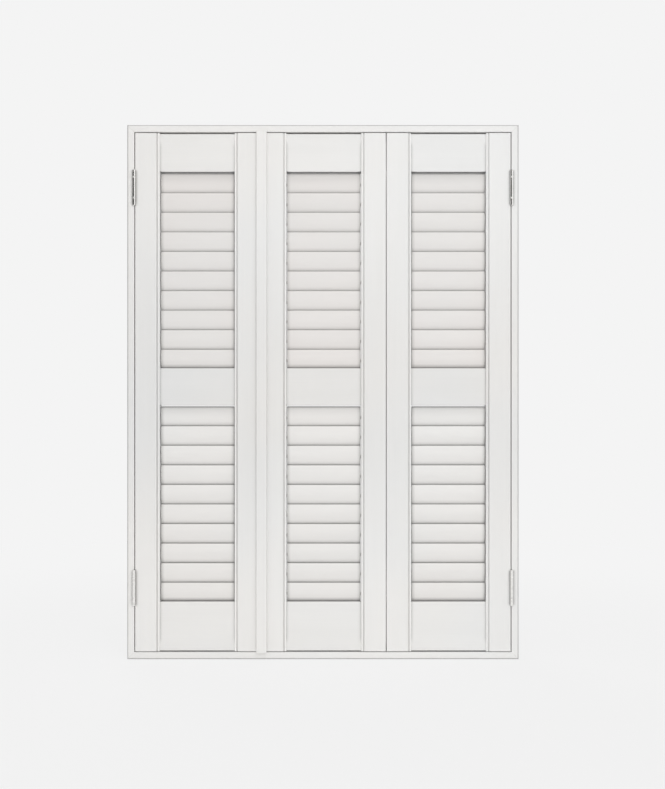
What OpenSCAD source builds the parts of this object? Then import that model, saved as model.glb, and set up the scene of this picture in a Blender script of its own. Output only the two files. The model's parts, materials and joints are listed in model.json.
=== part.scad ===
// Three-panel louvred window shutter in a rebated frame, front towards -Y, sill at z = 0.
// The left panel hangs on the left jamb, the middle and right panels fold on the right jamb.

/* [Louvres] */
// Louvres in each opening
louvre_count = 10; // [5:1:12]
// Distance from one louvre axis to the next
louvre_pitch = 40.5; // [38.5:0.1:42]
// Louvre width, edge to edge
louvre_chord = 47; // [45:0.5:50]
// Louvre thickness at its middle
louvre_thick = 10.5; // [9:0.25:12]
// Radius of the rounded louvre edges
louvre_edge_r = 2; // [1.6:0.1:2.4]
// Gap between two closed louvres where they lap
lap_gap = 0.7; // [0.4:0.1:1.2]
// Gap between a louvre's end and the stile
louvre_end_gap = 1.2; // [0.6:0.1:2]
// Radius of the pins in the louvre ends
louvre_pin_r = 3; // [2:0.25:3.5]
// Length of a louvre pin inside the stile
louvre_pin_seat = 9; // [6:0.5:14]
// Radial running clearance of a louvre pin
pin_clearance = 0.08; // [0.03:0.01:0.1]
// Gap between the top rail and the first louvre's edge
top_clearance = 2.2; // [0.8:0.1:3]
// How far the last louvre's rear edge tucks behind the rail below it
tail_tuck = 7.9; // [4:0.1:9]
// Gap between the last louvre and the front lip of that rail
tuck_gap = 1.5; // [0.3:0.1:3]

/* [Panels] */
// Length of the rails between the stiles
rail_len = 154.3; // [120:0.1:240]
// Width of a stile
stile_w = 50.8; // [44:0.1:60]
// Thickness of a stile
stile_t = 28; // [26:0.5:32]
// Radius of the eased outer edges of a stile
stile_edge_r = 1.5; // [0.5:0.1:2.5]
// Radius of the bead along a stile's inner edge
bead_r = 2; // [1.5:0.1:2.8]
// Width of the groove beside the bead
quirk_w = 2.6; // [1:0.1:3.2]
// Depth of that groove
quirk_d = 3.6; // [2.8:0.1:5]
// Thickness of the rails
rail_t = 20; // [18:0.5:22]
// Radius of the eased edges of a rail
rail_edge_r = 1.2; // [0.5:0.1:2]
// Height of the top rail
top_rail_h = 78.2; // [60:0.1:120]
// Height of the middle rail
mid_rail_h = 76.8; // [60:0.1:120]
// Height of the bottom rail
bottom_rail_h = 101.2; // [70:0.1:140]
// How far the top rails stop short of the stile ends
rail_inset = 1; // [0:0.1:3]
// Thickness of the rail tenons
tenon_t = 9; // [6:0.5:11]
// Length of the rail tenons
tenon_l = 16; // [10:0.5:24]
// Shoulder above and below a tenon
tenon_shoulder = 14; // [8:0.5:20]
// Glue gap round a tenon and under a light stop
glue_gap = 0.15; // [0.05:0.05:0.3]

/* [Frame] */
// Width of the frame's front face
frame_face = 15.2; // [12:0.1:30]
// Depth of the frame from front to back
frame_depth = 48; // [42:0.5:70]
// Width of the light stops planted behind the panels
stop_w = 12; // [8:0.5:14]
// Gap between the panels and the light stop
stop_gap = 1.5; // [1:0.1:3]
// Radius of the eased outer front edge of the frame
frame_outer_r = 4.5; // [1:0.1:6]
// Radius of the eased inner edges of the frame
frame_inner_r = 1; // [0.4:0.1:2]
// Gap between the panel ends and the head
head_gap = 2; // [1.5:0.1:4]
// Gap between the panel ends and the sill
sill_gap = 1.6; // [1.2:0.1:4]
// Gap between a panel and the piece it is hinged to
hinge_gap = 1.5; // [1.5:0.1:3]
// Gap between the left and middle panels, behind the cover strip
meeting_gap = 5; // [5:0.1:6]
// Radius of the frame's fixing holes
fixing_r = 2.5; // [2:0.25:3]
// Radius of the countersinks of the fixing holes
fixing_head_r = 4.8; // [4:0.1:6]
// Distance of the fixing holes from the frame's ends
fixing_inset = 280; // [260:1:330]

/* [Hinges] */
// Length of a hinge
hinge_len = 72; // [60:1:90]
// Length of each outer knuckle
knuckle_len = 14.5; // [10:0.5:20]
// Radius of the knuckles
knuckle_r = 3; // [2.5:0.1:3.5]
// Radius of the hinge pins
hinge_pin_r = 1.5; // [1:0.1:1.8]
// Radial running clearance of a hinge pin
hinge_clearance = 0.06; // [0.03:0.01:0.1]
// Thickness of the hinge leaves
leaf_t = 0.65; // [0.5:0.05:0.7]
// Width of the hinge leaves, from the pin
leaf_w = 22; // [16:0.5:26]
// Gap between neighbouring knuckles, and between knuckles and wood
knuckle_gap = 0.35; // [0.3:0.05:0.6]
// Height of the lower hinges' middle above the panel's bottom end
lower_hinge = 131; // [100:1:160]
// Distance of the upper hinges' middle below the panel's top end
upper_hinge = 113; // [90:1:160]
// Distance of the fold hinges' pins behind the panels
fold_reach = 4; // [3.5:0.1:6]
// Radius of the countersinks in the hinge leaves
leaf_sink_r = 3; // [2:0.1:3.2]
// Distance between the screw holes along a leaf
leaf_hole_pitch = 25; // [20:1:26]
// Distance of the screw holes from a leaf's middle line
leaf_hole_stagger = 3; // [0:0.5:3]

/* [Tilt rods] */
// Distance of a link's pivot past the louvre's rear edge
link_reach = 2.6; // [2.4:0.1:3.5]
// Distance of a link's pivot behind the louvre's middle plane
link_set = 1.6; // [1.4:0.1:2]
// Radius of a link's pin
link_pin_r = 1; // [0.8:0.05:1.2]
// Radial clearance of a link's pin
link_clearance = 0.07; // [0.03:0.01:0.1]
// Wall of an eye round its pin
eye_wall = 1.3; // [1:0.1:1.4]
// Wall of a lug round its pin
lug_wall = 0.7; // [0.5:0.1:1]
// Thickness of the eyes on the louvres
eye_t = 2.5; // [2:0.1:3.5]
// Thickness of the lugs on the rod
lug_t = 2; // [1.5:0.1:3]
// Gap between an eye and its lug
link_gap = 0.35; // [0.3:0.05:0.6]
// Width of a tilt rod
rod_w = 9; // [8:0.5:12]
// Thickness of a tilt rod
rod_t = 2.5; // [2:0.1:3.5]
// Distance of a tilt rod's front face behind the pivots
rod_back = 2.8; // [2.7:0.1:4]
// Length of a tilt rod past its end pivots
rod_end = 3; // [2.5:0.1:4]
// Room below a tilt rod's lower end
rod_room = 0.8; // [0.5:0.1:2]
// Distance of a tilt rod from the louvre's end
rod_inset = 14; // [10:0.5:30]

/* [Cover strip] */
// Width of the strip over the meeting stiles
strip_w = 21.8; // [18:0.1:28]
// Thickness of the strip
strip_t = 7; // [5:0.5:9]
// Radius of the strip's rounded front edges
strip_edge_r = 2; // [1:0.1:4]
// How far the strip reaches past the middle panel's edge
strip_lap = 11; // [9:0.1:14]
// Play between the strip and the left panel
strip_play = 0.4; // [0.3:0.1:0.8]
// How far the strip reaches past the panel ends
strip_over = 2.6; // [0:0.1:5]

/* [Hidden] */
$fn = 48;
FINE = 240;
EPS = 0.01;
CUT = 1;
EDGE_LAP = 0.02;
PAINT = "#ecebe8";
METAL = "#c9cacb";
ROD_METAL = "#d6d7d7";

PANELS = ["left", "middle", "right"];
ROD_SIDE = [-1, -1, 1];

// Louvre section, closed with its front edge up
half_chord = louvre_chord / 2;
half_thick = louvre_thick / 2;
edge_y = half_chord - louvre_edge_r - EDGE_LAP;
face_r = (edge_y * edge_y + half_thick * half_thick - louvre_edge_r * louvre_edge_r)
    / (2 * (half_thick - louvre_edge_r));
blend_y = face_r * edge_y / (face_r - louvre_edge_r);
function face_at(y) = sqrt(face_r * face_r - y * y) - (face_r - half_thick);
closed_tilt = asin((2 * face_at(louvre_pitch / 2) + lap_gap) / louvre_pitch);
louvre_len = rail_len - 2 * louvre_end_gap;

// Tilt rod links
pivot_r = half_chord + link_reach;
pivot_y = pivot_r * sin(closed_tilt) + link_set * cos(closed_tilt);
pivot_z = link_set * sin(closed_tilt) - pivot_r * cos(closed_tilt);
eye_r = link_pin_r + eye_wall;
lug_r = link_pin_r + lug_wall;
lug_x = eye_t / 2 + link_gap;

// Panel heights, from the sill up
first_margin = half_chord * cos(closed_tilt) + top_clearance;
last_margin = half_chord * cos(closed_tilt) - tail_tuck;
opening_h = first_margin + (louvre_count - 1) * louvre_pitch + last_margin;
panel_z = frame_face + sill_gap;
lower_opening_z = panel_z + bottom_rail_h;
mid_rail_z = lower_opening_z + opening_h;
upper_opening_z = mid_rail_z + mid_rail_h;
top_rail_z = upper_opening_z + opening_h;
panel_top = top_rail_z + top_rail_h + rail_inset;
panel_h = panel_top - panel_z;
frame_h = panel_top + head_gap + frame_face;
function louvre_z(opening_z, k) = opening_z + opening_h - first_margin - (k - 1) * louvre_pitch;

// Rear rebate of a rail, where the last louvre's edge and the rod's end go
rebate_at = last_margin / cos(closed_tilt);
rebate_y = rebate_at * sin(closed_tilt) - face_at(rebate_at) - tuck_gap;
rebate_h = rod_end - pivot_z - last_margin + rod_room;

// Panel and frame widths, from the left
panel_w = rail_len + 2 * stile_w;
frame_w = 3 * panel_w + 3 * hinge_gap + meeting_gap + 2 * frame_face;
jamb_x = frame_w / 2 - frame_face;
left_x = -jamb_x + hinge_gap;
middle_x = left_x + panel_w + meeting_gap;
right_x = middle_x + panel_w + hinge_gap;
PANEL_X = [left_x, middle_x, right_x];
function centre_x(p) = PANEL_X[p] + panel_w / 2;

// Frame section
front_y = -stile_t / 2;
rebate_depth = stile_t + stop_gap;
frame_reach = frame_face + stop_w;

// Hinge places
HINGE_Z = [panel_z + lower_hinge, panel_top - upper_hinge];
hinge_y = front_y - knuckle_r - knuckle_gap;
fold_x = right_x - hinge_gap / 2;
fold_y = stile_t / 2 + fold_reach;

LOUVRES = [for (p = PANELS) for (k = [1:louvre_count]) str(p, "_louvre_", k)];

// Waste outside a rounded corner of radius r, the corner at the origin and the solid at +x, +y
module corner_waste(r) {
    difference() {
        translate([-CUT, -CUT])
            square(r + CUT);
        translate([r, r])
            circle(r);
    }
}

// Casing section: x inwards from the outer face, y backwards from the front face
module casing_section() {
    difference() {
        square([frame_face, frame_depth]);
        corner_waste(frame_outer_r);
        translate([frame_face, 0])
            mirror([1, 0])
                corner_waste(frame_inner_r);
    }
}

// Section of the light stop, planted on the casing's inner face
module stop_section() {
    difference() {
        translate([frame_face + glue_gap, rebate_depth])
            square([stop_w - glue_gap, frame_depth - rebate_depth]);
        translate([frame_reach, rebate_depth])
            mirror([1, 0])
                corner_waste(frame_inner_r);
    }
}

// Cuts both ends of an upright piece to 45 degrees, its outer face at x = 0
module mitred(length) {
    intersection() {
        children();
        translate([0, frame_depth + CUT, 0])
            rotate([90, 0, 0])
                linear_extrude(frame_depth + 2 * CUT)
                    polygon([
                        [0, 0],
                        [frame_reach + CUT, frame_reach + CUT],
                        [frame_reach + CUT, length - frame_reach - CUT],
                        [0, length]
                    ]);
    }
}

// Casing and light stop of one side, standing on z = 0 with the front at y = 0
module frame_member(length) {
    mitred(length)
        linear_extrude(length)
            casing_section();
    mitred(length)
        linear_extrude(length)
            stop_section();
}

// Upright frame member with countersunk fixing holes into the wall, hidden behind the panel's edge
module jamb() {
    sink = fixing_head_r - fixing_r;
    translate([-frame_w / 2, front_y, 0])
        difference() {
            frame_member(frame_h);
            for (z = [fixing_inset, frame_h - fixing_inset])
                translate([0, stile_t / 2, z])
                    rotate([0, 90, 0]) {
                        translate([0, 0, -CUT])
                            cylinder(h = frame_face + 2 * CUT, r = fixing_r);
                        translate([0, 0, frame_face - sink])
                            cylinder(h = sink + EPS, r1 = fixing_r, r2 = fixing_head_r + EPS);
                    }
        }
}

module head() {
    translate([-frame_w / 2, front_y, frame_h])
        rotate([0, 90, 0])
            frame_member(frame_w);
}

// Stile section: x from the plain outer edge to the beaded inner edge, y = 0 at mid thickness
module stile_section() {
    bead_w = 2 * bead_r;
    difference() {
        translate([0, -stile_t / 2])
            square([stile_w, stile_t]);
        for (side = [0, 1])
            mirror([0, side]) {
                translate([0, -stile_t / 2])
                    corner_waste(stile_edge_r);
                translate([stile_w - bead_w - quirk_w, -stile_t / 2 - CUT])
                    square([quirk_w, quirk_d + CUT]);
                translate([stile_w - bead_w, -stile_t / 2 - CUT])
                    square([bead_w + CUT, bead_r + CUT]);
            }
    }
    for (side = [-1, 1])
        translate([stile_w - bead_r, side * (stile_t / 2 - bead_r)])
            circle(bead_r);
}

// Blind mortise for a rail's tenon, opening at the stile's inner edge
module mortise(rail_z, rail_h) {
    translate([stile_w - tenon_l - CUT, -tenon_t / 2 - glue_gap, rail_z + tenon_shoulder - glue_gap])
        cube([tenon_l + 2 * CUT, tenon_t + 2 * glue_gap, rail_h - 2 * tenon_shoulder + 2 * glue_gap]);
}

// Stile with its outer edge at x = 0, bored for the louvre pins and mortised for the rails
module stile() {
    bore_depth = louvre_pin_seat + CUT;
    difference() {
        translate([0, 0, panel_z])
            linear_extrude(panel_h)
                stile_section();
        for (opening_z = [lower_opening_z, upper_opening_z])
            for (k = [1:louvre_count])
                translate([stile_w - bore_depth, 0, louvre_z(opening_z, k)])
                    rotate([0, 90, 0])
                        cylinder(h = bore_depth + CUT, r = louvre_pin_r + pin_clearance);
        mortise(panel_z, bottom_rail_h);
        mortise(mid_rail_z, mid_rail_h);
        mortise(top_rail_z, top_rail_h);
    }
}

module near_stile(p) {
    color(PAINT)
        translate([PANEL_X[p], 0, 0])
            stile();
}

module far_stile(p) {
    color(PAINT)
        translate([PANEL_X[p] + panel_w, 0, 0])
            mirror([1, 0, 0])
                stile();
}

// Rail section: x backwards from the front face, y up from the bottom edge
module rail_section(rail_h, rebated) {
    difference() {
        translate([-rail_t / 2, 0])
            square([rail_t, rail_h]);
        for (side = [0, 1])
            mirror([side, 0]) {
                translate([-rail_t / 2, 0])
                    corner_waste(rail_edge_r);
                translate([-rail_t / 2, rail_h])
                    mirror([0, 1])
                        corner_waste(rail_edge_r);
            }
        if (rebated)
            translate([rebate_y, rail_h - rebate_h])
                square([rail_t, rebate_h + CUT]);
    }
}

// Rail between the stiles with a stub tenon at each end
module rail(p, z, rail_h, rebated) {
    color(PAINT)
        translate([centre_x(p), 0, z]) {
            translate([-rail_len / 2, 0, 0])
                rotate([90, 0, 90])
                    linear_extrude(rail_len)
                        rail_section(rail_h, rebated);
            translate([-rail_len / 2 - tenon_l, -tenon_t / 2, tenon_shoulder])
                cube([rail_len + 2 * tenon_l, tenon_t, rail_h - 2 * tenon_shoulder]);
        }
}

// Oval louvre section of four arcs, its chord along y
module louvre_section() {
    intersection() {
        translate([face_r - half_thick, 0])
            circle(face_r, $fn = FINE);
        translate([half_thick - face_r, 0])
            circle(face_r, $fn = FINE);
        square([2 * louvre_thick, 2 * blend_y], center = true);
    }
    for (side = [-1, 1])
        translate([0, side * edge_y])
            circle(louvre_edge_r + EDGE_LAP);
}

// Eye on a louvre's rear edge, its pivot past the edge
module eye_section(bored) {
    translate([link_set, -pivot_r])
        difference() {
            union() {
                translate([-eye_r, 0])
                    square([2 * eye_r, link_reach + 2 * louvre_edge_r]);
                circle(eye_r);
            }
            if (bored)
                circle(link_pin_r + link_clearance);
        }
}

// Closed louvre about its axis at the origin, with its end pins and its rod eye at +x
module louvre(bored) {
    rotate([closed_tilt, 0, 0]) {
        rotate([90, 0, 90]) {
            linear_extrude(louvre_len, center = true)
                louvre_section();
            translate([0, 0, rod_offset()])
                linear_extrude(eye_t, center = true)
                    eye_section(bored);
        }
        rotate([0, 90, 0])
            cylinder(h = rail_len + 2 * louvre_pin_seat, r = louvre_pin_r, center = true);
    }
}

function rod_offset() = louvre_len / 2 - rod_inset;

// Lug and pin of one link, its pivot at the origin
module link_lug() {
    translate([lug_x, 0, 0])
        rotate([90, 0, 90])
            linear_extrude(lug_t) {
                circle(lug_r);
                translate([0, -lug_r])
                    square([rod_back + EPS, 2 * lug_r]);
            }
    translate([-eye_t / 2 - link_gap, 0, 0])
        rotate([0, 90, 0])
            cylinder(h = eye_t + 2 * link_gap + lug_t / 2, r = link_pin_r);
}

// Flat tilt rod behind a bank of louvres, from the first louvre's axis at the origin
module rod() {
    bank_h = (louvre_count - 1) * louvre_pitch;
    translate([rod_offset(), pivot_y, pivot_z]) {
        translate([-rod_w / 2, rod_back, -bank_h - rod_end])
            cube([rod_w, rod_t, bank_h + 2 * rod_end]);
        for (k = [1:louvre_count])
            translate([0, 0, -(k - 1) * louvre_pitch])
                link_lug();
    }
}

// Puts a bank piece at a panel's louvre axis, with the rod on that panel's rod side
module at_louvre(p, opening_z, k) {
    translate([centre_x(p), 0, louvre_z(opening_z, k)])
        scale_side(ROD_SIDE[p])
            children();
}

module scale_side(side) {
    if (side < 0)
        mirror([1, 0, 0])
            children();
    else
        children();
}

module upper_louvre(p, k) {
    color(PAINT)
        at_louvre(p, upper_opening_z, k)
            louvre(true);
}

module tilt_rod(p) {
    color(ROD_METAL)
        at_louvre(p, upper_opening_z, 1)
            rod();
}

// Lower bank: its louvres and their rod as one closed piece
module lower_louvres(p) {
    color(PAINT) {
        for (k = [1:louvre_count])
            at_louvre(p, lower_opening_z, k)
                louvre(false);
        at_louvre(p, lower_opening_z, 1)
            rod();
    }
}

// Staggered screw holes through a leaf's plate, sunk from its +x face or, at open = -1, its -x face
module leaf_holes(x0, open) {
    middle_y = (knuckle_r + knuckle_gap + leaf_w) / 2;
    for (k = [-1:1])
        translate([
            x0 + leaf_t / 2,
            middle_y + (k == 0 ? 1 : -1) * leaf_hole_stagger,
            k * leaf_hole_pitch
        ])
            rotate([0, open * 90, 0])
                cylinder(
                    h = leaf_t + 2 * EPS,
                    r1 = leaf_sink_r - leaf_t - EPS,
                    r2 = leaf_sink_r + EPS,
                    center = true
                );
}

// Hinge leaf with its pin axis on z at the origin and its plate along +y, from x0 to x0 + leaf_t
module leaf(x0, outer, open) {
    middle_len = hinge_len - 2 * knuckle_len;
    plate_y = knuckle_r + knuckle_gap;
    difference() {
        union() {
            translate([x0, plate_y, -hinge_len / 2])
                cube([leaf_t, leaf_w - plate_y, hinge_len]);
            if (outer) {
                for (side = [0, 1])
                    mirror([0, 0, side])
                        translate([0, 0, middle_len / 2])
                            knuckle(x0, knuckle_len);
                cylinder(h = hinge_len, r = hinge_pin_r, center = true);
            } else {
                middle_knuckle = middle_len - 2 * knuckle_gap;
                translate([0, 0, -middle_knuckle / 2])
                    knuckle(x0, middle_knuckle);
            }
        }
        if (!outer)
            cylinder(h = hinge_len, r = hinge_pin_r + hinge_clearance, center = true);
        leaf_holes(x0, open);
    }
}

// Knuckle with the strap that joins it to the leaf's plate
module knuckle(x0, length) {
    cylinder(h = length, r = knuckle_r);
    translate([x0, 0, 0])
        cube([leaf_t, knuckle_r + 2 * knuckle_gap, length]);
}

module at_hinges(x, y, side) {
    for (z = HINGE_Z)
        translate([x, y, z])
            scale_side(side)
                children();
}

module frame_hinge_leaves() {
    color(METAL)
        for (side = [-1, 1])
            at_hinges(side * jamb_x, hinge_y, -side)
                leaf(0, true, 1);
}

module left_hinge_leaves() {
    color(METAL)
        at_hinges(-jamb_x, hinge_y, 1)
            leaf(hinge_gap - leaf_t, false, -1);
}

module middle_hinge_leaves() {
    color(METAL)
        at_hinges(fold_x, fold_y, -1)
            mirror([0, 1, 0])
                leaf(hinge_gap / 2 - leaf_t, false, -1);
}

module right_hinge_leaves() {
    color(METAL) {
        at_hinges(jamb_x, hinge_y, -1)
            leaf(hinge_gap - leaf_t, false, -1);
        at_hinges(fold_x, fold_y, 1)
            mirror([0, 1, 0])
                leaf(hinge_gap / 2 - leaf_t, true, -1);
    }
}

// Strip section, its flat back at y = 0, relieved where it laps the left panel
module strip_section() {
    half_w = strip_w / 2;
    difference() {
        translate([-half_w, -strip_t])
            square([strip_w, strip_t]);
        for (side = [0, 1])
            mirror([side, 0])
                translate([-half_w, -strip_t])
                    corner_waste(strip_edge_r);
        translate([-half_w - CUT, -strip_play])
            square([strip_lap + CUT, strip_play + CUT]);
    }
}

// Strip on the middle panel's meeting stile, its ends relieved where they lap the frame
module cover_strip() {
    strip_h = panel_h + 2 * strip_over;
    color(PAINT)
        translate([middle_x - strip_lap + strip_w / 2, front_y, panel_z - strip_over])
            difference() {
                linear_extrude(strip_h)
                    strip_section();
                for (z = [-CUT, strip_h - strip_over])
                    translate([-strip_w, -strip_play, z])
                        cube([2 * strip_w, strip_play + CUT, strip_over + CUT]);
            }
}

module frame_head() {
    color(PAINT)
        head();
}

module frame_sill() {
    color(PAINT)
        translate([0, 0, frame_h])
            mirror([0, 0, 1])
                head();
}

module frame_left_jamb() {
    color(PAINT)
        jamb();
}

module frame_right_jamb() {
    color(PAINT)
        mirror([1, 0, 0])
            jamb();
}

frame_head();
frame_sill();
frame_left_jamb();
frame_right_jamb();
frame_hinge_leaves();
near_stile(0);  // left_hinge_stile
far_stile(0);  // left_meeting_stile
left_hinge_leaves();
near_stile(1);  // middle_meeting_stile
far_stile(1);  // middle_fold_stile
middle_hinge_leaves();
cover_strip();
near_stile(2);  // right_fold_stile
far_stile(2);  // right_hinge_stile
right_hinge_leaves();
for (p = [0:2]) {
    rail(p, top_rail_z, top_rail_h, false);
    rail(p, mid_rail_z, mid_rail_h, true);
    rail(p, panel_z, bottom_rail_h, true);
    tilt_rod(p);
    lower_louvres(p);
    for (k = [1:louvre_count])
        upper_louvre(p, k);
}
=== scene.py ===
import json
import math

import bpy
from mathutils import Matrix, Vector


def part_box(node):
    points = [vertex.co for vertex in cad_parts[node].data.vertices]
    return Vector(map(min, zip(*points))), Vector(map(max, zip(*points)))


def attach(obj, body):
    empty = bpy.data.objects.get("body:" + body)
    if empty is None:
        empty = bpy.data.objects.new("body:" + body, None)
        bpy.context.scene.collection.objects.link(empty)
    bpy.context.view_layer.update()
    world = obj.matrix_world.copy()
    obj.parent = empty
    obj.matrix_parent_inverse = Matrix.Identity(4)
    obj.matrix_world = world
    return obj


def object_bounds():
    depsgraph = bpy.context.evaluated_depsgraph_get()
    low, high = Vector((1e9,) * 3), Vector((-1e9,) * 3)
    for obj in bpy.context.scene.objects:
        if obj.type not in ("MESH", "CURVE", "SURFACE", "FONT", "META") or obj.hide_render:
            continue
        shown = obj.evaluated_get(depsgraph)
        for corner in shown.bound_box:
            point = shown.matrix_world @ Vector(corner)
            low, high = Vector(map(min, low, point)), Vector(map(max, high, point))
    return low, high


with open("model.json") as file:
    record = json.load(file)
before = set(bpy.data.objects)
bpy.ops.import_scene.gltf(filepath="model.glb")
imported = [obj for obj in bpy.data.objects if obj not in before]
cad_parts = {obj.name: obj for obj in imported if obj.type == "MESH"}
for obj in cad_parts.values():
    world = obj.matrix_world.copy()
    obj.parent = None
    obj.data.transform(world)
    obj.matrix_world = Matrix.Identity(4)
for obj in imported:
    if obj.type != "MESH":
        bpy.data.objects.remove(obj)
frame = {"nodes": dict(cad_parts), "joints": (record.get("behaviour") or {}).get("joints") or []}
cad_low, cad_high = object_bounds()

# Louvred window shutter, front towards -Y, standing on z = 0. All lengths are in metres.

# Photograph's frame and view
IMAGE_H = 789
IMAGE_CENTRE = (332.5, 394.5)
OBJECT_CENTRE = (322.9, 392.05)
PIXEL = 0.00206
VIEW_DISTANCE = 2.2
SENSOR_MM = 36

# Tints, as linear colours
BACKDROP = (0.905, 0.905, 0.905)
WARM_PAINT = (0.797, 0.785, 0.766)
COOL_PAINT = (0.783, 0.782, 0.773)
# The rails' tints are the face paint darkened a little: painted shade.
WARM_SHADED_RAIL = (0.784, 0.773, 0.754)
COOL_SHADED_RAIL = (0.770, 0.770, 0.763)
# The upper louvres' tints are darker than the face paint: painted shade.
WARM_SHADED_LOUVRE = (0.745, 0.715, 0.693)
COOL_SHADED_LOUVRE = (0.737, 0.721, 0.704)
# The lower louvres' tints are lighter than the upper ones, for the light they get from below: painted
# light, still darker than the faces.
WARM_LIT_LOWER_LOUVRE = (0.776, 0.757, 0.736)
COOL_LIT_LOWER_LOUVRE = (0.768, 0.760, 0.744)
NICKEL = (0.90, 0.89, 0.87)
NICKEL_DULL = (0.78, 0.77, 0.75)
ALUMINIUM = (0.80, 0.80, 0.79)
ALUMINIUM_DULL = (0.70, 0.70, 0.69)

# Paint film: features per metre, the shade of its thin places and the depth of its relief
LAY_OFF = {"run": 5, "across": 620}
FILM = {"run": 3, "across": 26}
STIPPLE = (520, 520, 520)
PATCHES = (2.6, 2.6, 2.6)
PATCH_FADE = (0.35, 0.65)
FILM_FADE = (0.3, 0.7)
THIN_FILM = 0.972
FILM_DEPTH = 0.00006

# Metal: where its noise turns into tarnish on the hinges and dull places on the rods
TARNISH_FADE = (0.42, 0.75)
DULL_FADE = (0.3, 0.7)

# Hairline of the frame's mitres: half its width, the light it takes, its depth in the relief
SEAM_HALF = 0.0005
SEAM_SHADE = 0.3
SEAM_DEPTH = 2.0

# Painted shade in corners: how far it reaches and how much light it takes where they close up, and the
# distance from the head and the sill over which it starts on the rails
CORNER_SAMPLES = 12
FACE_CORNER_SHADE = (0.004, 0.07)
RAIL_CORNER_SHADE = (0.006, 0.7)
LOUVRE_CORNER_SHADE = (0.009, 0.72)
LOWER_LOUVRE_CORNER_SHADE = (0.009, 0.85)
RAIL_CORNER_SHADE_START = (0.012, 0.03)

# Painted shade at mid-height, painted shadow just below the rails, and where they fade out
MID_HEIGHT_SHADE = 0.925
MID_HEIGHT_SHADE_FADE = (0.05, 0.45)
RAIL_SHADOW = 0.86
RAIL_SHADOW_FADE = (0.003, 0.03)

# Lines of painted shade on the louvres, along the stiles and along the rails
LOUVRE_END_GAP = 0.0012
LOUVRE_END_SHADE = 0.84
LOUVRE_END_FADE = (0.0005, 0.0025)
SHUT_LINE_SHADE = 0.72
ABOVE_RAIL_FADE = (0.001, 0.004)
BELOW_RAIL_FADE = (0.003, 0.0055)

# Line of painted shade round the frame on its rounded outer edge, by the distance from its outer edge
# and from its front
EDGE_LINE_SHADE = 0.62
EDGE_LINE_START = (0.0002, 0.0008)
EDGE_LINE_FADE = (0.0018, 0.0032)
EDGE_LINE_DEPTH = (0.006, 0.009)

# Beads along the stiles, and how much a painted highlight brightens them
BEAD_W = 0.0042
BEAD_EDGE = 0.0004
BEAD_HIGHLIGHT = 0.09

# Painted shadow beside the hinges and painted shade under the rails: the light each takes, and where it
# lies
HINGE_SHADOW = 0.65
HINGE_SHADOW_END = 0.003
HINGE_SHADOW_FADE = (0.008, 0.012)
HINGE_SHADOW_REACH = 0.007
HINGE_SHADOW_OPEN = (0.4, 1.0)
UNDERSIDE_SHADE = 0.9
UNDERSIDE_SHADE_FACING = (-0.6, 0.0)
UNDERSIDE_SHADE_REACH = 0.012
UNDERSIDE_SHADE_OPEN = (0.5, 1.0)

# Hinges
LOWER_HINGE = 0.131
UPPER_HINGE = 0.113
HINGE_LEN = 0.072
HINGE_GAP = 0.0015
KNUCKLE_LEN = 0.0145
KNUCKLE_R = 0.003
KNUCKLE_EDGE = (0.0003, 0.0008)
KNUCKLE_END_FADE = (0.0008, 0.0022)
LEAF_T = 0.00065
LEAF_MIDDLE = 0.012675
LEAF_HOLE_PITCH = 0.025
LEAF_HOLE_STAGGER = 0.003

# Screws and pin ends
LEAF_SCREW = {"Head radius": 0.0029, "Head depth": 0.0006, "Crown": 0.00006, "Recess width": 0.0008}
FIXING_SCREW = {"Head radius": 0.0046, "Head depth": 0.0022, "Crown": 0.0003, "Recess width": 0.0013}
PIN_END = {"Flange radius": 0.0027, "Flange depth": 0.0004, "Dome radius": 0.0021, "Dome rise": 0.0009}
FIXING_INSET = 0.28
FIXING_SUNK = 0.0002
RECESS_SPAN = 1.15
RECESS_DEPTH = 1.1
SCREW_TURN = math.pi / 4
SCREW_SEED = 7
ROUND_FACETS = 40
DOME_RINGS = 20
CROWN_SEGMENTS = 96
CROWN_RINGS = 192
CREASE = math.radians(35)

# Studio: light of the sky before and behind the part, the floor's faint shadow, and a dark card
SKY_FRONT = 0.91
SKY_BACK = 0.30
SKY_FADE = (-0.5, 0.5)
FLOOR_SIZE = 30
SHADOW_SHARE = 0.18
SHADOW_FADE = (0.7, 1.9)
FLAG_BLACK = (0.004, 0.004, 0.004, 1.0)
FLAG_SIZE = (5.5, 0.75)
FLAG_PLACE = (-1.39, -1.29, 1.42)
FLAG_TURN = math.radians(-60)

# Places that the pieces share
panel_low, panel_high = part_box("left_hinge_stile")
half_width = cad_high.x
height = cad_high.z
front_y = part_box("frame_head")[0].y
hinge_heights = (panel_low.z + LOWER_HINGE, panel_high.z - UPPER_HINGE)
joint_place = {joint["name"]: Vector(joint["pos_m"]) for joint in frame["joints"]}
opening_stiles = (
    ("left_hinge_stile", "left_meeting_stile"),
    ("middle_meeting_stile", "middle_fold_stile"),
    ("right_fold_stile", "right_hinge_stile"),
)
openings = [(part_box(first)[1].x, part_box(second)[0].x) for first, second in opening_stiles]


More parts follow.
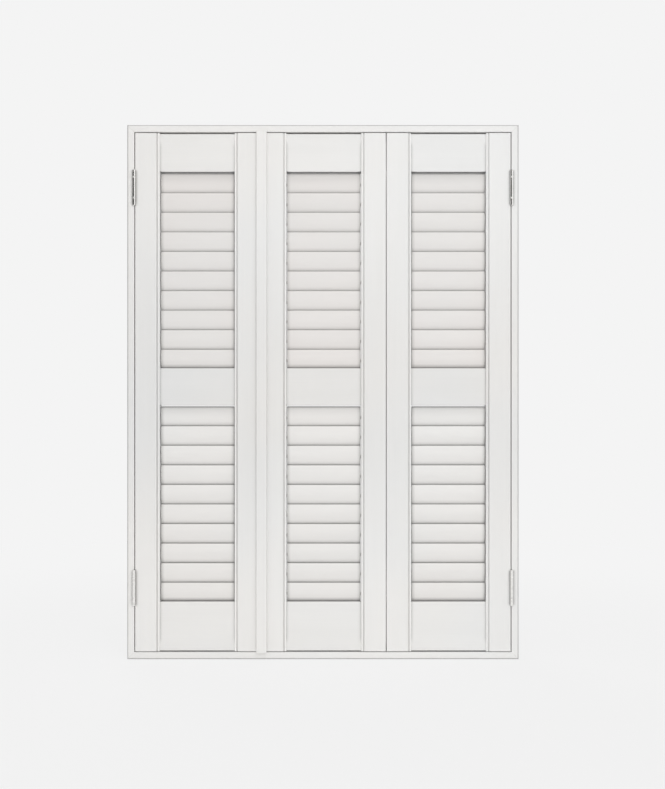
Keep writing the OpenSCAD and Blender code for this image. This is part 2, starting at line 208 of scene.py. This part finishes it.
class Value:
    """A node's output that takes part in plain sums."""

    def __init__(self, nodes, socket):
        self.nodes = nodes
        self.socket = socket

    def math(self, operation, *terms):
        """Result of a maths node."""
        return self.nodes.add("ShaderNodeMath", {"operation": operation}, dict(enumerate(terms)))

    def __add__(self, other):
        return self.math("ADD", self, other)

    def __radd__(self, other):
        return self.math("ADD", other, self)

    def __sub__(self, other):
        return self.math("SUBTRACT", self, other)

    def __rsub__(self, other):
        return self.math("SUBTRACT", other, self)

    def __mul__(self, other):
        return self.math("MULTIPLY", self, other)

    def __rmul__(self, other):
        return self.math("MULTIPLY", other, self)

    def __truediv__(self, other):
        return self.math("DIVIDE", self, other)

    def __neg__(self):
        return self.math("MULTIPLY", self, -1.0)

    def __abs__(self):
        return self.math("ABSOLUTE", self)

    def __gt__(self, other):
        return self.math("GREATER_THAN", self, other)

    def least(self, other):
        return self.math("MINIMUM", self, other)

    def most(self, other):
        return self.math("MAXIMUM", self, other)


class Nodes:
    """A node tree that is filled by one method."""

    def __init__(self, tree):
        self.tree = tree

    def add(self, kind, settings=None, sockets=None, output=0):
        """Makes a node, sets it up, fills or links its sockets and returns one of its outputs."""
        node = self.tree.nodes.new(kind)
        for key, value in (settings or {}).items():
            setattr(node, key, value)
        for key, value in (sockets or {}).items():
            for one in value if isinstance(value, list) else [value]:
                self.feed(node.inputs[key], one)
        return Value(self, node.outputs[output]) if node.outputs else node

    def feed(self, socket, value):
        """Links a value to a socket, or sets it there."""
        if isinstance(value, Value):
            self.tree.links.new(value.socket, socket)
        else:
            socket.default_value = value

    def step(self, value, low, high, at_low=0.0, at_high=1.0):
        """Smooth step of a value between two bounds."""
        bounds = {"From Min": low, "From Max": high, "To Min": at_low, "To Max": at_high}
        smooth = {"interpolation_type": "SMOOTHSTEP"}
        return self.add("ShaderNodeMapRange", smooth, {"Value": value, **bounds})

    def fade(self, value, low, high, at_low=1.0):
        """Smooth step of a value down to nothing between two bounds."""
        return self.step(value, low, high, at_low, 0.0)

    def blend(self, factor, first, second, mode="MIX"):
        """Colour made of two others."""
        colours = [c if isinstance(c, Value) else (*c, 1.0) for c in (first, second)]
        settings = {"data_type": "RGBA", "blend_type": mode}
        return self.add("ShaderNodeMix", settings, {0: factor, 6: colours[0], 7: colours[1]}, output=2)

    def grey(self, value):
        """Colour of one value in all its parts."""
        return self.add("ShaderNodeCombineColor", sockets={0: value, 1: value, 2: value})


class Finish(Nodes):
    """A material on one Principled shader, whose patterns follow the piece's own place."""

    def __init__(self, name, **constants):
        self.material = bpy.data.materials.new(name)
        self.material.use_nodes = True
        super().__init__(self.material.node_tree)
        self.shader = self.tree.nodes["Principled BSDF"]
        self.place = self.add("ShaderNodeTexCoord", output="Object")
        self.wear(**constants)

    def wear(self, **sockets):
        """Feeds the shader's inputs, each named with underscores for spaces."""
        for key, value in sockets.items():
            self.feed(self.shader.inputs[key.replace("_", " ")], value)

    def axis(self, name):
        """One coordinate of the piece's own place."""
        return self.add("ShaderNodeSeparateXYZ", sockets={0: self.place}, output=name)

    def facing(self, name):
        """One coordinate of the surface's own normal."""
        normal = self.add("ShaderNodeTexCoord", output="Normal")
        return self.add("ShaderNodeSeparateXYZ", sockets={0: normal}, output=name)

    def noise(self, scale, detail):
        """Noise of so many features per metre along each axis."""
        stretched = self.add("ShaderNodeMapping", sockets={"Vector": self.place, "Scale": scale})
        sockets = {"Vector": stretched, "Scale": 1.0, "Detail": detail, "Roughness": 0.5}
        return self.add("ShaderNodeTexNoise", {"noise_dimensions": "3D"}, sockets)

    def openness(self, reach):
        """1 in the open, less where other surfaces stand close, within the reach."""
        settings = {"samples": CORNER_SAMPLES}
        return self.add("ShaderNodeAmbientOcclusion", settings, {"Distance": reach}, output="AO")

    def relief(self, bump_height, depth, strength):
        """Bump of so many metres on the shader's normal."""
        sockets = {"Strength": strength, "Distance": depth, "Height": bump_height}
        self.wear(Normal=self.add("ShaderNodeBump", sockets=sockets))


def along(axis, run, across):
    """Scale of a pattern drawn out along one axis."""
    return tuple(run if name == axis else across for name in "xyz")


def satin_paint(name, grain, tints, marks, mitred=False):
    """Sprayed satin paint: faint lay-off lines along the grain over a fine stipple, under its marks of
    painted shade and highlight.
    """
    paint = Finish(name)
    lines = paint.noise(along(grain, **LAY_OFF), detail=3)
    stipple = paint.noise(STIPPLE, detail=2)
    film = paint.noise(along(grain, **FILM), detail=4)
    patches = paint.noise(PATCHES, detail=2)
    tint = paint.blend(paint.step(patches, *PATCH_FADE), *tints)
    shade = paint.step(film * 0.7 + lines * 0.3, *FILM_FADE, at_low=THIN_FILM)
    for mark in marks:
        shade = shade * mark(paint)
    bump_height = lines * 0.55 + stipple * 0.45
    if mitred:
        seam = mitre_seam(paint)
        shade = shade * (1 - SEAM_SHADE * seam)
        bump_height = bump_height - SEAM_DEPTH * seam
    colour = paint.blend(1.0, tint, paint.grey(shade), mode="MULTIPLY")
    paint.wear(Base_Color=colour, Roughness=0.36 + 0.16 * stipple)
    paint.relief(bump_height, depth=FILM_DEPTH, strength=0.5)
    return paint.material


def inside_opening(paint):
    """How far inside the opening of its panel a point lies, less than nothing in the stiles."""
    across = paint.axis("X")
    sides = [(high - low) / 2 - abs(across - (low + high) / 2) for low, high in openings]
    return sides[0].most(sides[1]).most(sides[2])


def painted_corner_shade(reach, taken):
    """Mark of painted shade in corners, darker where other surfaces stand close."""
    return lambda paint: 1 - taken * (1 - paint.openness(reach))


def painted_rail_corner_shade(reach, taken):
    """Mark of painted shade in a rail's corners, none along the head and the sill."""

    def mark(paint):
        up = paint.axis("Z")
        from_end = (up - panel_low.z).least(panel_high.z - up)
        return 1 - taken * paint.step(from_end, *RAIL_CORNER_SHADE_START) * (1 - paint.openness(reach))

    return mark


def painted_louvre_corner_shade(reach, taken):
    """Mark of painted shade in a louvre's corners, none on its pins."""

    def mark(paint):
        blade = paint.step(inside_opening(paint), LOUVRE_END_GAP * 0.9, LOUVRE_END_GAP)
        return 1 - taken * blade * (1 - paint.openness(reach))

    return mark


def painted_shut_lines(low_rail, high_rail):
    """Mark of the lines of painted shade round a bank of louvres, along the rails and the stiles."""
    low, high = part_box(low_rail)[1].z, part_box(high_rail)[0].z

    def mark(paint):
        up = paint.axis("Z")
        from_end = inside_opening(paint) - LOUVRE_END_GAP
        above_rail = paint.step(up - low, *ABOVE_RAIL_FADE, at_low=SHUT_LINE_SHADE)
        below_rail = paint.step(high - up, *BELOW_RAIL_FADE, at_low=SHUT_LINE_SHADE)
        return above_rail * below_rail * paint.step(from_end, *LOUVRE_END_FADE, at_low=LOUVRE_END_SHADE)

    return mark


def painted_rail_shadow(rail):
    """Mark of the painted shadow of a rail on the louvre just below it."""
    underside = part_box(rail)[0].z
    return lambda paint: paint.step(underside - paint.axis("Z"), *RAIL_SHADOW_FADE, at_low=RAIL_SHADOW)


def painted_mid_height_shade(paint):
    """Painted shade, darkest at mid-height."""
    return paint.step(abs(paint.axis("Z") - height / 2), *MID_HEIGHT_SHADE_FADE, at_low=MID_HEIGHT_SHADE)


def painted_bead_highlight(paint):
    """Painted highlight on a stile's bead, brighter than its face."""
    from_opening = -inside_opening(paint)
    return 1 + BEAD_HIGHLIGHT * paint.fade(from_opening, BEAD_W - BEAD_EDGE, BEAD_W)


def off_hinge(finish):
    """How far above or below the middle of the nearer hinge a point lies."""
    middle, half_apart = sum(hinge_heights) / 2, (hinge_heights[1] - hinge_heights[0]) / 2
    return abs(abs(finish.axis("Z") - middle) - half_apart)


def painted_hinge_shadow(paint):
    """Painted shadow on the paint close to the knuckles of the frame's hinges."""
    beside = paint.fade(off_hinge(paint), HINGE_LEN / 2, HINGE_LEN / 2 + HINGE_SHADOW_END)
    off_axis = abs(abs(paint.axis("X")) - joint_place["right_panel_open"].x)
    near = paint.fade(off_axis, *HINGE_SHADOW_FADE)
    shaded = paint.fade(paint.openness(HINGE_SHADOW_REACH), *HINGE_SHADOW_OPEN, at_low=HINGE_SHADOW)
    return 1 - beside * near * shaded


def painted_underside_shade(paint):
    """Painted shade on a rail's underside where a louvre shuts close to it."""
    downward = paint.fade(paint.facing("Z"), *UNDERSIDE_SHADE_FACING)
    shaded = paint.fade(paint.openness(UNDERSIDE_SHADE_REACH), *UNDERSIDE_SHADE_OPEN, at_low=UNDERSIDE_SHADE)
    return 1 - downward * shaded


def edge_distances(paint):
    """How far inside the frame's outer sides and ends a point lies."""
    from_side = half_width - abs(paint.axis("X"))
    from_end = height / 2 - abs(paint.axis("Z") - height / 2)
    return from_side, from_end


def painted_edge_line(paint):
    """Painted shade along the rounded outer edge at the front."""
    from_side, from_end = edge_distances(paint)
    inside = from_side.least(from_end)
    line = paint.step(inside, *EDGE_LINE_START) * paint.fade(inside, *EDGE_LINE_FADE)
    at_front = paint.fade(paint.axis("Y") - front_y, *EDGE_LINE_DEPTH)
    return 1 - (1 - EDGE_LINE_SHADE) * line * at_front


def mitre_seam(paint):
    """Hairline where two sides of the frame meet at 45 degrees."""
    from_side, from_end = edge_distances(paint)
    return paint.fade(abs(from_side - from_end), 0.0, SEAM_HALF)


def polished_nickel():
    """Plated hinge metal with fine polishing lines, a faint bloom and dull ends of the knuckles."""
    metal = Finish("polished_nickel", Metallic=1.0)
    lines = metal.noise(along("z", run=60, across=2600), detail=3)
    bloom = metal.noise((160, 160, 160), detail=4)
    tarnish = metal.step(bloom, *TARNISH_FADE)
    off_joint = abs(off_hinge(metal) - (HINGE_LEN / 2 - KNUCKLE_LEN))
    axis_depth = (abs(joint_place["right_panel_open"].y) + abs(joint_place["middle_fold"].y)) / 2
    off_axis = abs(abs(metal.axis("Y")) - axis_depth)
    knuckle = metal.fade(off_axis - KNUCKLE_R, *KNUCKLE_EDGE)
    dulled = knuckle * metal.fade(off_joint, *KNUCKLE_END_FADE)
    metal.wear(
        Base_Color=metal.blend(tarnish, NICKEL, NICKEL_DULL),
        Roughness=0.04 + 0.05 * lines + 0.07 * tarnish + 0.45 * dulled,
    )
    metal.relief(lines, depth=0.00001, strength=0.3)
    return metal.material


def satin_aluminium():
    """Brushed rod metal, its lines along the rod."""
    metal = Finish("satin_aluminium", Metallic=1.0)
    lines = metal.noise(along("z", run=12, across=3200), detail=3)
    bloom = metal.noise((40, 40, 40), detail=3)
    dull = metal.step(bloom * 0.5 + lines * 0.5, *DULL_FADE)
    metal.wear(Base_Color=metal.blend(dull, ALUMINIUM, ALUMINIUM_DULL), Roughness=0.30 + 0.18 * lines)
    metal.relief(lines, depth=0.00002, strength=0.4)
    return metal.material


class Maker(Nodes):
    """A Geometry Nodes tree with named sizes, set out on points that carry a facing."""

    def __init__(self, name, sizes):
        super().__init__(bpy.data.node_groups.new(name, "GeometryNodeTree"))
        self.tree.interface.new_socket("Spots", in_out="INPUT", socket_type="NodeSocketGeometry")
        for size in sizes:
            self.tree.interface.new_socket(size, in_out="INPUT", socket_type="NodeSocketFloat")
        self.tree.interface.new_socket("Pieces", in_out="OUTPUT", socket_type="NodeSocketGeometry")
        given = self.tree.nodes.new("NodeGroupInput")
        self.given = {socket.name: Value(self, socket) for socket in given.outputs if socket.name}

    def raised(self, geometry, z):
        """The geometry, higher by z."""
        shift = self.add("ShaderNodeCombineXYZ", sockets={2: z})
        return self.add("GeometryNodeTransform", sockets={"Geometry": geometry, "Translation": shift})

    def boolean(self, operation, first, others):
        """The first geometry cut by the others, or joined or crossed with them."""
        if operation == "DIFFERENCE":
            sockets = {"Mesh 1": first, "Mesh 2": others}
        else:
            sockets = {"Mesh 2": [first, *others]}
        return self.add("GeometryNodeMeshBoolean", {"operation": operation, "solver": "EXACT"}, sockets)

    def set_out(self, piece, material, turn=0.0, seed=0):
        """Stands a copy of the piece on every spot, facing its way, with a random turn about it."""
        named = {"data_type": "FLOAT_VECTOR"}
        facing = self.add("GeometryNodeInputNamedAttribute", named, {"Name": "facing"})
        upright = self.add("FunctionNodeAlignRotationToVector", {"axis": "Z"}, {"Vector": facing})
        draw = {2: -turn, 3: turn, 8: seed}
        spin = self.add("FunctionNodeRandomValue", {"data_type": "FLOAT"}, draw, output=1)
        euler = self.add("ShaderNodeCombineXYZ", sockets={2: spin})
        spin_turn = self.add("FunctionNodeEulerToRotation", sockets={0: euler})
        turned = self.add(
            "FunctionNodeRotateRotation",
            {"rotation_space": "LOCAL"},
            {"Rotation": upright, "Rotate By": spin_turn},
        )
        creased = self.add(
            "GeometryNodeSetShadeSmooth",
            {"domain": "EDGE"},
            {
                "Geometry": piece,
                "Selection": self.add("GeometryNodeInputMeshEdgeAngle") > CREASE,
                "Shade Smooth": False,
            },
        )
        copies = self.add(
            "GeometryNodeInstanceOnPoints",
            sockets={"Points": self.given["Spots"], "Instance": creased, "Rotation": turned},
        )
        real = self.add("GeometryNodeRealizeInstances", sockets={"Geometry": copies})
        finished = self.add("GeometryNodeSetMaterial", sockets={"Geometry": real, "Material": material})
        self.add("NodeGroupOutput", sockets={"Pieces": finished})
        return self.tree


def screw_tree(material):
    """Raised countersunk screw head with a cross recess, its rim on the spot."""
    maker = Maker("countersunk_screws", LEAF_SCREW)
    radius, depth = maker.given["Head radius"], maker.given["Head depth"]
    crown, recess = maker.given["Crown"], maker.given["Recess width"]
    cone = maker.add(
        "GeometryNodeMeshCone",
        sockets={
            "Vertices": ROUND_FACETS,
            "Radius Top": radius + crown,
            "Radius Bottom": radius - depth,
            "Depth": depth + crown,
        },
    )
    ball_r = (radius * radius + crown * crown) / (2 * crown)
    ball = maker.add(
        "GeometryNodeMeshUVSphere",
        sockets={"Segments": CROWN_SEGMENTS, "Rings": CROWN_RINGS, "Radius": ball_r},
    )
    head = maker.boolean("INTERSECT", maker.raised(cone, -depth), [maker.raised(ball, crown - ball_r)])
    span = radius * RECESS_SPAN
    arms = []
    for long_x, long_y in ((span, recess), (recess, span)):
        lengths = {0: long_x, 1: long_y, 2: depth * RECESS_DEPTH}
        size = maker.add("ShaderNodeCombineXYZ", sockets=lengths)
        arm = maker.add("GeometryNodeMeshCube", sockets={"Size": size})
        arms.append(maker.raised(arm, crown))
    return maker.set_out(maker.boolean("DIFFERENCE", head, arms), material, SCREW_TURN, SCREW_SEED)


def pin_end_tree(material):
    """Domed end of a hinge pin on a thin flange, standing on the spot."""
    maker = Maker("hinge_pin_ends", PIN_END)
    depth, dome_r = maker.given["Flange depth"], maker.given["Dome radius"]
    flange = maker.add(
        "GeometryNodeMeshCylinder",
        sockets={"Vertices": ROUND_FACETS, "Radius": maker.given["Flange radius"], "Depth": depth},
    )
    ball = maker.add(
        "GeometryNodeMeshUVSphere",
        sockets={"Segments": ROUND_FACETS, "Rings": DOME_RINGS, "Radius": 1.0},
    )
    lengths = {0: dome_r, 1: dome_r, 2: maker.given["Dome rise"]}
    size = maker.add("ShaderNodeCombineXYZ", sockets=lengths)
    dome = maker.add("GeometryNodeTransform", sockets={"Geometry": ball, "Scale": size})
    whole = maker.boolean("UNION", maker.raised(flange, depth / 2), [maker.raised(dome, depth)])
    return maker.set_out(whole, material)


def linked(name, data):
    """A new object in the scene."""
    made = bpy.data.objects.new(name, data)
    bpy.context.scene.collection.objects.link(made)
    return made


def hardware(name, body, tree, sizes, spots):
    """Makes one body's pieces of a tree as a plain mesh that rides on it."""
    points = bpy.data.meshes.new(name + "_spots")
    points.from_pydata([place for place, _ in spots], [], [])
    facing = points.attributes.new("facing", "FLOAT_VECTOR", "POINT")
    facing.data.foreach_set("vector", [part for _, way in spots for part in way])
    setter = linked(name + "_setter", points)
    modifier = setter.modifiers.new("maker", "NODES")
    modifier.node_group = tree
    for item in tree.interface.items_tree:
        if item.name in sizes:
            modifier[item.identifier] = sizes[item.name]
    ready = setter.evaluated_get(bpy.context.evaluated_depsgraph_get())
    mesh = bpy.data.meshes.new_from_object(ready)
    mesh.name = name
    bpy.data.objects.remove(setter)
    piece = linked(name, mesh)
    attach(piece, body)


def leaf_spots(axis_place, face_x, way_x, back):
    """Screw places on one leaf of both hinges of a pair, the leaf's plate lying towards back * y."""
    spots = []
    for z in hinge_heights:
        for k in (-1, 0, 1):
            stagger = LEAF_HOLE_STAGGER if k == 0 else -LEAF_HOLE_STAGGER
            y = axis_place.y + back * (LEAF_MIDDLE + stagger)
            spots.append(((face_x, y, z + k * LEAF_HOLE_PITCH), (way_x, 0, 0)))
    return spots


def pin_spots(axis_place):
    """Both ends of the pins of a pair of hinges."""
    ends = [(z, way) for z in hinge_heights for way in (-1, 1)]
    return [((axis_place.x, axis_place.y, z + way * HINGE_LEN / 2), (0, 0, way)) for z, way in ends]


def hinge_hardware(material):
    """Leaf screws, frame fixing screws and pin ends."""
    screws = screw_tree(material)
    pins = pin_end_tree(material)
    left, right = joint_place["left_panel_open"], joint_place["right_panel_open"]
    fold = joint_place["middle_fold"]
    jamb_leaf, panel_leaf = LEAF_T, HINGE_GAP - LEAF_T
    fold_leaf = HINGE_GAP / 2 - LEAF_T
    frame_spots = leaf_spots(left, left.x + jamb_leaf, 1, 1)
    frame_spots += leaf_spots(right, right.x - jamb_leaf, -1, 1)
    left_spots = leaf_spots(left, left.x + panel_leaf, -1, 1)
    middle_spots = leaf_spots(fold, fold.x - fold_leaf, 1, -1)
    right_spots = leaf_spots(right, right.x - panel_leaf, 1, 1)
    right_spots += leaf_spots(fold, fold.x + fold_leaf, -1, -1)
    for body, spots in (
        ("frame", frame_spots),
        ("left_panel", left_spots),
        ("middle_panel", middle_spots),
        ("right_panel", right_spots),
    ):
        hardware(body + "_hinge_screws", body, screws, LEAF_SCREW, spots)
    fixing_spots = [
        ((side * (right.x + FIXING_SUNK), 0.0, z), (-side, 0, 0))
        for side in (-1, 1)
        for z in (FIXING_INSET, height - FIXING_INSET)
    ]
    hardware("frame_fixing_screws", "frame", screws, FIXING_SCREW, fixing_spots)
    hardware("frame_hinge_pin_ends", "frame", pins, PIN_END, pin_spots(left) + pin_spots(right))
    hardware("fold_hinge_pin_ends", "right_panel", pins, PIN_END, pin_spots(fold))


def dress():
    """Gives every CAD piece its finish, and the hinges their screws and pin ends."""
    nickel = polished_nickel()
    rod_metal = satin_aluminium()
    face_tints = (WARM_PAINT, COOL_PAINT)
    # Rail and louvre tints carry painted shade, and the lower louvres' tints painted light.
    shaded_rail_tints = (WARM_SHADED_RAIL, COOL_SHADED_RAIL)
    shaded_upper_tints = (WARM_SHADED_LOUVRE, COOL_SHADED_LOUVRE)
    lit_lower_tints = (WARM_LIT_LOWER_LOUVRE, COOL_LIT_LOWER_LOUVRE)
    # Each mark below paints shade, shadow or a highlight onto the paint.
    face_shade = painted_corner_shade(*FACE_CORNER_SHADE)
    upright_marks = (face_shade, painted_mid_height_shade, painted_hinge_shadow, painted_bead_highlight)
    level_marks = (painted_rail_corner_shade(*RAIL_CORNER_SHADE), painted_mid_height_shade, painted_underside_shade)
    jamb_marks = (face_shade, painted_mid_height_shade, painted_hinge_shadow, painted_edge_line)
    head_marks = (face_shade, painted_edge_line)
    upper_marks = (
        painted_louvre_corner_shade(*LOUVRE_CORNER_SHADE),
        painted_rail_shadow("left_top_rail"),
        painted_shut_lines("left_mid_rail", "left_top_rail"),
    )
    lower_marks = (
        painted_louvre_corner_shade(*LOWER_LOUVRE_CORNER_SHADE),
        painted_rail_shadow("left_mid_rail"),
        painted_shut_lines("left_bottom_rail", "left_mid_rail"),
    )
    upright = satin_paint("upright_paint", "z", face_tints, upright_marks)
    level = satin_paint("level_paint", "x", shaded_rail_tints, level_marks)
    jamb = satin_paint("jamb_paint", "z", face_tints, jamb_marks, mitred=True)
    head = satin_paint("head_paint", "x", face_tints, head_marks, mitred=True)
    upper = satin_paint("louvre_paint", "x", shaded_upper_tints, upper_marks)
    lower = satin_paint("lower_louvre_paint", "x", lit_lower_tints, lower_marks)
    for name, piece in frame["nodes"].items():
        if name.endswith("hinge_leaves"):
            finish = nickel
        elif name.endswith("tilt_rod"):
            finish = rod_metal
        elif name.endswith("lower_louvres"):
            finish = lower
        elif "louvre" in name:
            finish = upper
        elif name.endswith("jamb"):
            finish = jamb
        elif name in ("frame_head", "frame_sill"):
            finish = head
        elif name.endswith("rail"):
            finish = level
        else:
            finish = upright
        piece.data.materials.clear()
        piece.data.materials.append(finish)
    hinge_hardware(nickel)


def seen(nodes):
    """1 for camera, glossy and transmitted rays, which see the plain backdrop."""
    rays = ("Is Camera Ray", "Is Glossy Ray", "Is Transmission Ray")
    camera, glossy, transmitted = (nodes.add("ShaderNodeLightPath", output=ray) for ray in rays)
    return camera.most(glossy).most(transmitted)


def soft_light(name, place, aim, size, power, mirrored=True):
    """Square area light that the camera doesn't see."""
    lamp = bpy.data.lights.new(name, "AREA")
    lamp.shape = "SQUARE"
    lamp.size = size
    lamp.energy = power
    light = linked(name, lamp)
    light.location = place
    light.rotation_euler = (Vector(aim) - Vector(place)).to_track_quat("-Z", "Y").to_euler()
    light.visible_camera = False
    light.visible_glossy = mirrored


def plane(name, size_x, size_y, material):
    """Flat card that belongs to the stage."""
    mesh = bpy.data.meshes.new(name)
    x, y = size_x / 2, size_y / 2
    mesh.from_pydata([(-x, -y, 0), (x, -y, 0), (x, y, 0), (-x, y, 0)], [], [(0, 1, 2, 3)])
    mesh.materials.append(material)
    card = linked(name, mesh)
    return card


def studio_sky():
    """Plain backdrop that lights the part from the front more than from behind."""
    world = bpy.data.worlds.new("studio_sky")
    world.use_nodes = True
    bpy.context.scene.world = world
    sky = Nodes(world.node_tree)
    way = sky.add("ShaderNodeTexCoord", output="Generated")
    way_y = sky.add("ShaderNodeSeparateXYZ", sockets={0: way}, output="Y")
    light = sky.grey(sky.step(way_y, *SKY_FADE, at_low=SKY_FRONT, at_high=SKY_BACK))
    background = world.node_tree.nodes["Background"]
    sky.feed(background.inputs["Color"], sky.blend(seen(sky), light, BACKDROP))


def studio_floor():
    """Floor of the backdrop's colour, with a faint shadow round the part."""
    pale = bpy.data.materials.new("studio_floor")
    pale.use_nodes = True
    pale.node_tree.nodes.clear()
    floor = Nodes(pale.node_tree)
    diffuse = floor.add("ShaderNodeBsdfDiffuse", sockets={"Color": (*BACKDROP, 1.0)})
    glow = floor.add("ShaderNodeEmission", sockets={"Color": (*BACKDROP, 1.0), "Strength": 1.0})
    place = floor.add("ShaderNodeTexCoord", output="Object")
    away = floor.add("ShaderNodeVectorMath", {"operation": "LENGTH"}, {0: place}, output="Value")
    plain = floor.step(away, *SHADOW_FADE, at_low=1 - SHADOW_SHARE)
    mixed = floor.add("ShaderNodeMixShader", sockets={0: seen(floor) * plain, 1: diffuse, 2: glow})
    floor.add("ShaderNodeOutputMaterial", sockets={"Surface": mixed})
    plane("studio_floor", FLOOR_SIZE, FLOOR_SIZE, pale)


def studio_flag():
    """Dark card that only mirrored rays see, for the stripe on the upper hinges."""
    dark = Finish("studio_flag", Base_Color=FLAG_BLACK, Specular_IOR_Level=0.0)
    flag = plane("studio_flag", *FLAG_SIZE, dark.material)
    flag.location = FLAG_PLACE
    flag.rotation_euler = (math.radians(90), 0, FLAG_TURN)
    flag.visible_camera = False
    flag.visible_diffuse = False
    flag.visible_shadow = False
    flag.visible_transmission = False


def studio_lights():
    """Two soft lights from the front and two from behind."""
    upper_back, lower_back = (0, 0, height * 0.6), (0, 0, height * 0.4)
    soft_light("key_light", (0.5, -2.4, 2.5), (0.05, 0, height), size=2.0, power=16)
    soft_light("low_fill", (0.3, -2.2, 0.25), (0.05, 0, 0), size=1.6, power=10)
    soft_light("back_light", (-1.2, 2.6, 2.0), upper_back, size=2.4, power=32, mirrored=False)
    soft_light("back_fill", (1.1, 2.4, 0.7), lower_back, size=2.0, power=19, mirrored=False)


def photo_camera():
    """Camera straight on, at the photograph's scale and framing."""
    lens = bpy.data.cameras.new("photo_camera")
    lens.sensor_width = SENSOR_MM
    lens.lens = SENSOR_MM * VIEW_DISTANCE / (IMAGE_H * PIXEL)
    camera = linked("photo_camera", lens)
    camera.location = (
        (IMAGE_CENTRE[0] - OBJECT_CENTRE[0]) * PIXEL,
        front_y - VIEW_DISTANCE,
        height / 2 - (IMAGE_CENTRE[1] - OBJECT_CENTRE[1]) * PIXEL,
    )
    camera.rotation_euler = (math.radians(90), 0, 0)
    bpy.context.scene.camera = camera


bpy.context.scene.view_settings.view_transform = "Standard"
photo_camera()
studio_sky()
studio_floor()
studio_flag()
studio_lights()
dress()
